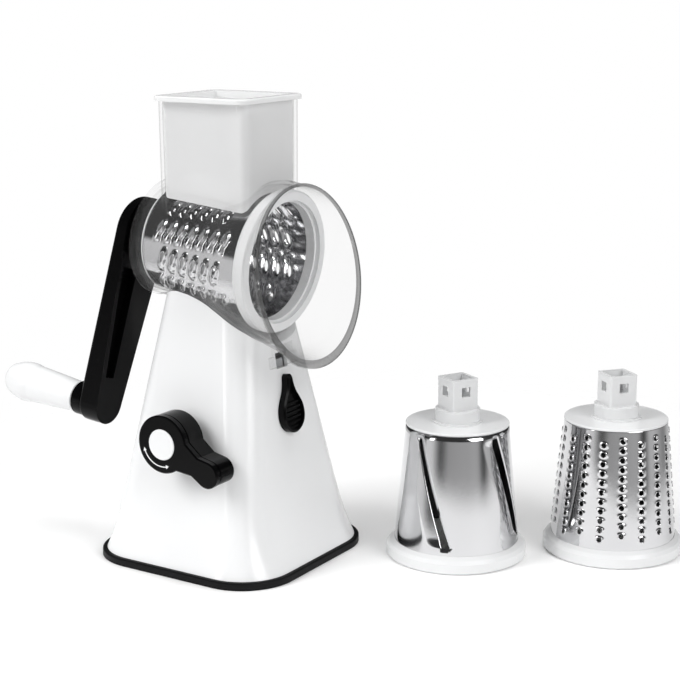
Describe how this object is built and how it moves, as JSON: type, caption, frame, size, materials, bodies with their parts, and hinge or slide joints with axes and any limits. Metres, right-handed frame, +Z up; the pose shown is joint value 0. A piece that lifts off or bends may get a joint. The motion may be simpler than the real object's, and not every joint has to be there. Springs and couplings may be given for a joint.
{
  "type": "rotary drum shredder",
  "caption": "Hand-cranked rotary vegetable shredder with a clear hopper housing, a locking suction base and spare steel drums.",
  "frame": {"origin": "centre of the underside of the suction base, on the table surface", "axes": "+Z up, +X towards the side the discharge funnel opens to, -Y the face with the suction lever"},
  "size_m": [0.4159, 0.2444, 0.2921],
  "materials": {
    "white_plastic": "gloss",
    "drum_white": "gloss",
    "clear_plastic": "clear",
    "pusher_plastic": "satin, translucent",
    "black_rubber": "matt",
    "black_plastic": "gloss",
    "grey_plastic": "satin",
    "works_plastic": "satin",
    "drum_steel": "polished, pierced",
    "screw_steel": "plated",
    "spring_steel": "plain"
  },
  "bodies": {
    "stand": {"suction_pad": "black_rubber", "suction_membrane": "black_rubber", "base_skirt": "white_plastic", "base_screws": "screw_steel", "tower_shell": "white_plastic", "clear_housing": "clear_plastic", "rear_bushing": "works_plastic", "latch_spring": "spring_steel"},
    "crank": {"coarse_drum_cone": "drum_steel", "coarse_drum_ring": "drum_white", "coarse_drum_end": "drum_white", "crank_arm": "black_plastic", "drive_plug": "black_plastic", "crank_screw": "screw_steel", "grip_collar": "black_plastic", "grip_pin": "screw_steel"},
    "grip": {"crank_grip": "white_plastic", "grip_end_cap": "white_plastic"},
    "pusher": {"food_pusher": "pusher_plastic"},
    "lever": {"lock_lever": "black_plastic", "lever_cap": "white_plastic", "lever_screw": "screw_steel", "lock_axle": "black_plastic", "axle_clip": "spring_steel", "lock_cam": "works_plastic"},
    "stem": {"pull_stem": "works_plastic"},
    "latch": {"latch_button": "black_plastic", "latch_bolt": "grey_plastic"},
    "slicer_drum": {"slicer_drum_cone": "drum_steel", "slicer_drum_ring": "drum_white", "slicer_drum_end": "drum_white"},
    "fine_drum": {"fine_drum_cone": "drum_steel", "fine_drum_ring": "drum_white", "fine_drum_end": "drum_white"}
  },
  "joints": [
    {"name": "crank_turn", "type": "hinge", "parent": "stand", "child": "crank", "pos_m": [0, 0, 0.1957], "axis": [0.9951, 0, -0.0985], "continuous": true},
    {"name": "grip_spin", "type": "hinge", "parent": "crank", "child": "grip", "pos_m": [-0.011, -0.031, 0.08446], "axis": [0.9951, 0, -0.0985], "continuous": true},
    {"name": "pusher_lift", "type": "slide", "parent": "stand", "child": "pusher", "axis": [0, 0, 1], "range_m": [0, 0.06]},
    {"name": "lock_turn", "type": "hinge", "parent": "stand", "child": "lever", "pos_m": [0, 0, 0.0853], "axis": [0, -1, 0], "range_deg": [0, 90]},
    {"name": "stem_pull", "type": "slide", "parent": "stand", "child": "stem", "axis": [0, 0, -1], "range_m": [0, 0.004], "deforming": ["suction_membrane"]},
    {"name": "latch_slide", "type": "slide", "parent": "stand", "child": "latch", "axis": [0.143, 0, -0.9897], "range_m": [0, 0.006], "stiffness_N_per_m": 300, "springref_m": -0.004, "deforming": ["latch_spring"]},
    {"name": "slicer_drum_lift", "type": "slide", "parent": "stand", "child": "slicer_drum", "axis": [0, 0, 1], "range_m": [0, 0.12]},
    {"name": "fine_drum_lift", "type": "slide", "parent": "stand", "child": "fine_drum", "axis": [0, 0, 1], "range_m": [0, 0.12]}
  ],
  "couplings": [
    {"joint": "stem_pull", "follows": "lock_turn", "m_per_rad": 0.002546}
  ]
}
